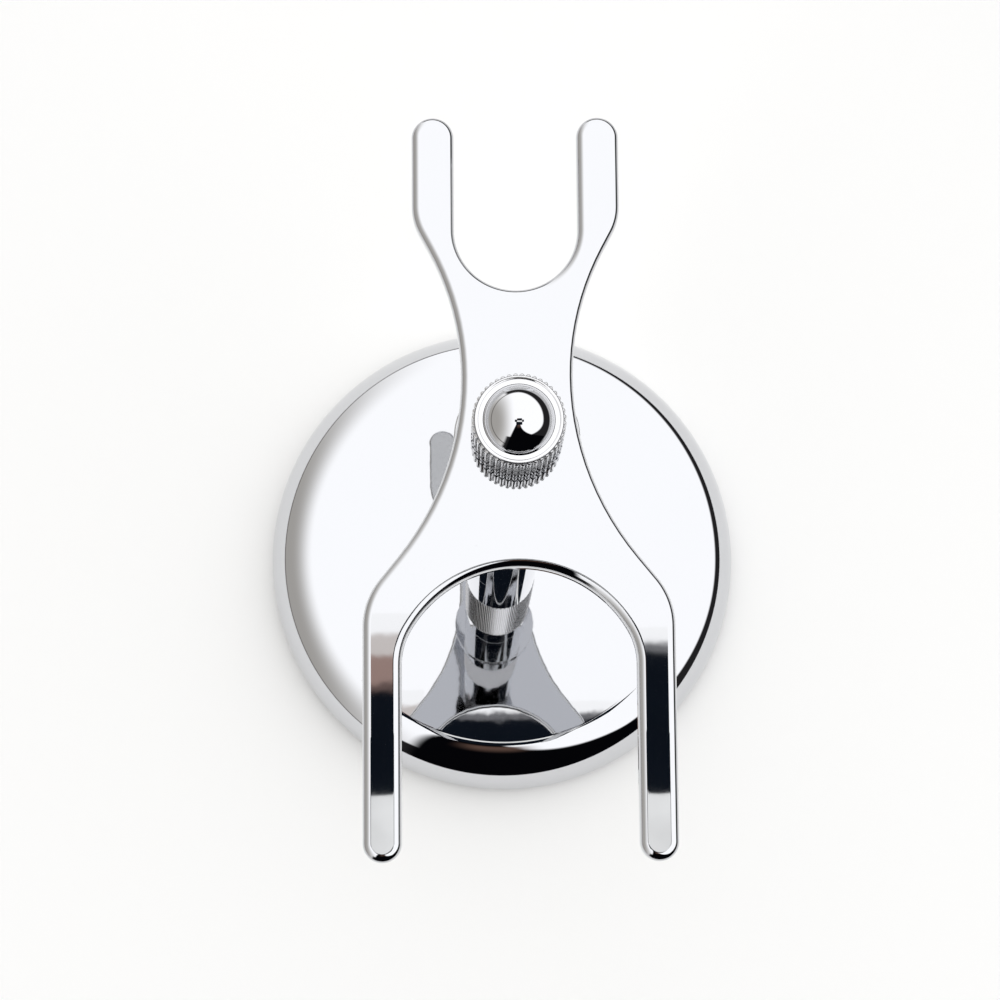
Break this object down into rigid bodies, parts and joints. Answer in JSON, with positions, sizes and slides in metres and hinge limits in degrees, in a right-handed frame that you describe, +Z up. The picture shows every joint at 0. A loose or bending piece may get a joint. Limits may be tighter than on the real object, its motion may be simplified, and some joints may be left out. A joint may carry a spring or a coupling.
{
  "type": "razor and shaving brush stand",
  "caption": "Chrome shaving stand: weighted round base, knurled stem and a flat holder plate with a wide brush fork and a narrow razor fork, held by a thumb nut with a ball top.",
  "frame": {"origin": "on the stem's axis, in the plane of the base pad's underside, which rests on the table", "axes": "+Z up along the stem; -Y towards the open end of the wide brush fork, +Y towards the open end of the razor fork; +X to the right"},
  "size_m": [0.0824, 0.1002, 0.1481],
  "materials": {
    "cover_chrome": "bright polished chrome plate",
    "tube_chrome": "bright polished chrome plate, turned",
    "knurl_chrome": "chrome plate over fine knurling",
    "flange_chrome": "bright polished chrome plate",
    "plate_chrome": "bright polished top and edges, duller underside",
    "knob_chrome": "bright chrome plate, knurled bands",
    "ball_chrome": "mirror polished chrome plate",
    "rod_steel": "rolled thread, zinc plated",
    "zinc_steel": "zinc plated",
    "ballast_iron": "turned, oiled",
    "bush_brass": "turned",
    "pad_rubber": "fine closed-cell foam rubber"
  },
  "bodies": {
    "stand": {"base_shell": "cover_chrome", "ballast_disc": "ballast_iron", "base_pad": "pad_rubber", "base_washer": "zinc_steel", "lock_washer": "zinc_steel", "base_nut": "zinc_steel", "tie_rod": "rod_steel", "foot_bush": "bush_brass", "lower_tube": "tube_chrome", "lower_joint_bush": "bush_brass", "knurled_grip": "knurl_chrome", "upper_joint_bush": "bush_brass", "upper_tube": "tube_chrome", "seat_flange": "flange_chrome"},
    "holder": {"holder_plate": "plate_chrome"},
    "thrust": {"knob_washer": "zinc_steel"},
    "knob": {"thumb_knob": "knob_chrome", "finial_ball": "ball_chrome"}
  },
  "joints": [
    {"name": "holder_swivel", "type": "hinge", "parent": "stand", "child": "holder", "pos_m": [0, 0, 0.1335], "axis": [0, 0, 1], "continuous": true},
    {"name": "knob_lift", "type": "slide", "parent": "stand", "child": "thrust", "axis": [0, 0, 1], "range_m": [0, 0.003]},
    {"name": "knob_turn", "type": "hinge", "parent": "thrust", "child": "knob", "pos_m": [0, 0, 0.14025], "axis": [0, 0, 1], "range_deg": [0, 1080]}
  ],
  "couplings": [
    {"joint": "knob_lift", "follows": "knob_turn", "m_per_rad": 0.00015915}
  ]
}
